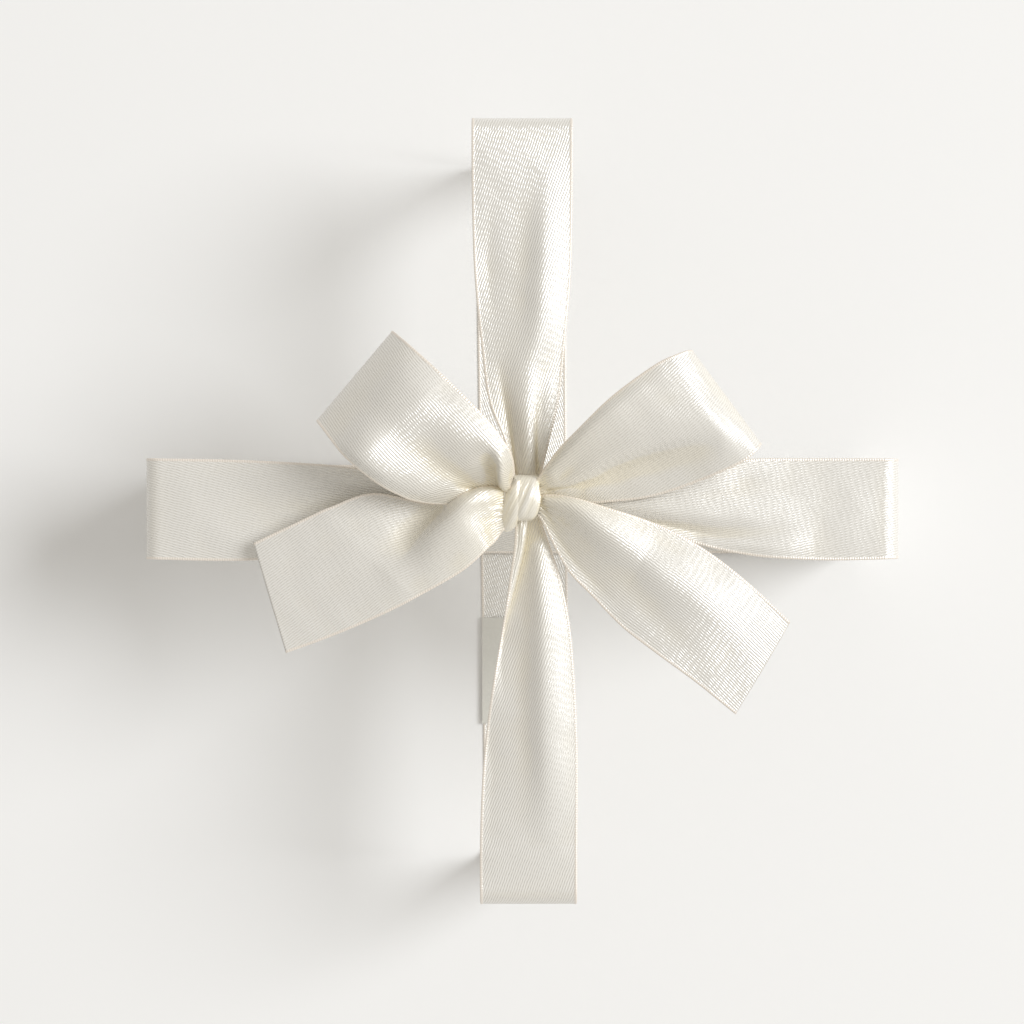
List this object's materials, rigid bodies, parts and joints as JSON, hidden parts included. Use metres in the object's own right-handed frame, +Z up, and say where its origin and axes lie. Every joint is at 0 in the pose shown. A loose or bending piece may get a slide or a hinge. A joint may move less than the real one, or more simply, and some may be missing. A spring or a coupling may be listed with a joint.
{
  "type": "pre-made gift bow",
  "caption": "Satin ribbon gift bow with paired loops and tails gathered in a knot, on crossed ribbon bands that slip round a flat gift box.",
  "frame": {"origin": "on the ground under the middle of the bands' bounding box", "axes": "+Z up, +X along the crosswise band to the right loop's side, +Y along the lengthwise band away from the tails"},
  "size_m": [0.188, 0.196, 0.0849],
  "materials": {
    "band_ribbon": "cream twill-satin ribbon with a fine woven edge",
    "bow_ribbon": "cream twill-satin ribbon with a fine woven edge, soft sheen",
    "knot_ribbon": "the same ribbon pulled tight, warmer in its creases",
    "binding_thread": "matt twisted polyester thread",
    "seam_tape": "thin double-sided tape",
    "foam_pad": "white closed-cell foam pad"
  },
  "bodies": {
    "wrap": {"lengthwise_band": "band_ribbon", "crosswise_band": "band_ribbon", "lengthwise_seam_tape": "seam_tape", "crosswise_seam_tape": "seam_tape", "adhesive_pad": "foam_pad", "gathered_core": "bow_ribbon", "binding_thread": "binding_thread", "knot_wrap": "knot_ribbon", "knot_tuck": "knot_ribbon"},
    "left_loop": {"left_loop": "bow_ribbon"},
    "right_loop": {"right_loop": "bow_ribbon"},
    "left_tail": {"left_tail": "bow_ribbon"},
    "right_tail": {"right_tail": "bow_ribbon"}
  },
  "joints": [
    {"name": "left_loop_lift", "type": "hinge", "parent": "wrap", "child": "left_loop", "pos_m": [-0.00465, 0.00643, 0.0672], "axis": [0.5878, 0.809, 0], "range_deg": [-3, 25]},
    {"name": "right_loop_lift", "type": "hinge", "parent": "wrap", "child": "right_loop", "pos_m": [0.00474, 0.00561, 0.0672], "axis": [0.4384, -0.8988, 0], "range_deg": [-3, 25]},
    {"name": "left_tail_lift", "type": "hinge", "parent": "wrap", "child": "left_tail", "pos_m": [-0.00531, 0.00117, 0.0672], "axis": [-0.3697, 0.9291, 0], "range_deg": [-3, 20]},
    {"name": "right_tail_lift", "type": "hinge", "parent": "wrap", "child": "right_tail", "pos_m": [0.00429, 0.00003, 0.0672], "axis": [-0.5764, -0.8171, 0], "range_deg": [-3, 20]}
  ]
}
